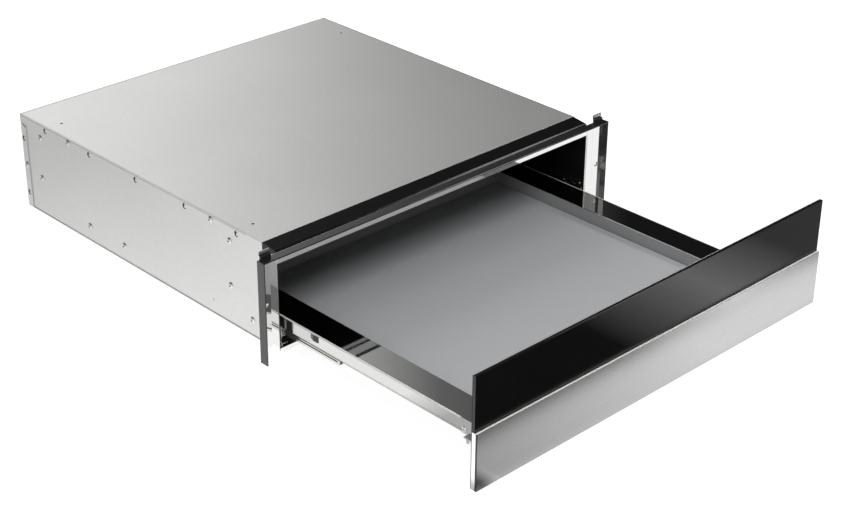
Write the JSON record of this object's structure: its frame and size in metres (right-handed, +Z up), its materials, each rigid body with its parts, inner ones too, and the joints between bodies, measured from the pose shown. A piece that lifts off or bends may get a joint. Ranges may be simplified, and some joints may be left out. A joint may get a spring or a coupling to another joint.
{
  "type": "built-in warming drawer",
  "caption": "Built-in warming drawer with sheet-metal housing, polished front frame, push-to-open drawer on ball runners, and a front of black glass over brushed steel.",
  "frame": {"origin": "centre of the housing's base", "axes": "+X across to the right seen from the front, +Y to the back, +Z up"},
  "size_m": [0.594, 0.8998, 0.1455],
  "materials": {
    "galvanised": "satin",
    "polished_steel": "mirror polished",
    "mirror_ledge": "mirror polished",
    "black_trim": "gloss",
    "black_lining": "satin enamel",
    "runner_steel": "zinc plated",
    "cage_brass": "satin",
    "ball_steel": "polished",
    "screw_steel": "polished",
    "brushed_front": "brushed across",
    "black_glass": "gloss",
    "mat_grey": "matte",
    "tray_grey": "satin",
    "mineral_wool": "fibrous",
    "black_plastic": "fine grain",
    "white_plastic": "satin",
    "black_rubber": "matte",
    "heater_steel": "oxidised",
    "motor_steel": "laminated steel",
    "aluminium": "fine brushed",
    "lamp_amber": "clear amber"
  },
  "bodies": {
    "housing": {"base_plate": "galvanised", "left_side": "galvanised", "right_side": "galvanised", "top_cover": "galvanised", "rear_cover": "galvanised", "fan_cowl": "galvanised", "runner_bracket_left": "galvanised", "runner_bracket_right": "galvanised", "frame_strip_left": "polished_steel", "frame_strip_right": "polished_steel", "frame_strip_top": "polished_steel", "bottom_front_rail": "polished_steel", "air_deflector": "black_trim", "liner_ceiling": "black_lining", "liner_left": "black_lining", "liner_right": "black_lining", "liner_back": "black_lining", "cabinet_member_left": "runner_steel", "cabinet_member_right": "runner_steel", "housing_screws": "screw_steel", "runner_screws": "screw_steel", "insulation_top": "mineral_wool", "frame_corner_blocks": "black_plastic", "cable_gland": "black_plastic", "latch_body": "black_plastic", "terminal_block": "white_plastic", "thermal_cutout": "white_plastic", "ring_heater": "heater_steel", "fan_motor": "motor_steel"},
    "drawer": {"drawer_member_left": "runner_steel", "drawer_member_right": "runner_steel", "drawer_deck": "mirror_ledge", "drawer_tray": "tray_grey", "drawer_insulation": "mineral_wool", "drawer_bottom": "galvanised", "anti_slip_mat": "mat_grey", "drawer_rail_left": "galvanised", "drawer_rail_right": "galvanised", "front_carrier": "galvanised", "guide_pegs": "black_plastic", "drawer_screws": "screw_steel", "panel_backing": "galvanised", "glass_pane": "black_glass", "steel_skin": "brushed_front", "panel_buffers": "black_rubber", "control_box": "black_plastic", "control_plate": "aluminium", "pilot_lamp": "lamp_amber"},
    "middle_left": {"middle_member_left": "runner_steel"},
    "middle_right": {"middle_member_right": "runner_steel"},
    "outer_cages": {"outer_cages": "cage_brass", "outer_balls": "ball_steel"},
    "inner_cages": {"inner_cages": "cage_brass", "inner_balls": "ball_steel"},
    "latch_plunger": {"latch_plunger": "white_plastic"},
    "fan": {"fan_shaft": "aluminium", "fan_wheel": "aluminium"},
    "knob": {"temperature_knob": "aluminium"},
    "button": {"power_button": "black_plastic"}
  },
  "joints": [
    {"name": "drawer_slide", "type": "slide", "parent": "housing", "child": "drawer", "axis": [0, -1, 0], "range_m": [-0.332, 0.013]},
    {"name": "middle_left_slide", "type": "slide", "parent": "housing", "child": "middle_left", "axis": [0, -1, 0], "range_m": [-0.1, 0.004]},
    {"name": "middle_right_slide", "type": "slide", "parent": "housing", "child": "middle_right", "axis": [0, -1, 0], "range_m": [-0.1, 0.004]},
    {"name": "outer_cages_slide", "type": "slide", "parent": "housing", "child": "outer_cages", "axis": [0, -1, 0], "range_m": [-0.05, 0.002]},
    {"name": "inner_cages_slide", "type": "slide", "parent": "housing", "child": "inner_cages", "axis": [0, -1, 0], "range_m": [-0.216, 0.0085]},
    {"name": "latch_push", "type": "slide", "parent": "housing", "child": "latch_plunger", "axis": [0, 1, 0], "range_m": [0, 0.0025], "stiffness_N_per_m": 400, "springref_m": -0.01},
    {"name": "fan_spin", "type": "hinge", "parent": "housing", "child": "fan", "pos_m": [0, 0.17, 0.07985], "axis": [0, 1, 0], "continuous": true},
    {"name": "knob_turn", "type": "hinge", "parent": "drawer", "child": "knob", "pos_m": [0.211, -0.5965, 0.0575], "axis": [0, 0, 1], "range_deg": [-270, 0]},
    {"name": "button_press", "type": "slide", "parent": "drawer", "child": "button", "axis": [0, 0, -1], "range_m": [0, 0.002], "stiffness_N_per_m": 300, "springref_m": -0.004}
  ],
  "couplings": [
    {"joint": "middle_left_slide", "follows": "drawer_slide", "ratio": 0.3},
    {"joint": "middle_right_slide", "follows": "drawer_slide", "ratio": 0.3},
    {"joint": "outer_cages_slide", "follows": "drawer_slide", "ratio": 0.15},
    {"joint": "inner_cages_slide", "follows": "drawer_slide", "ratio": 0.65}
  ]
}
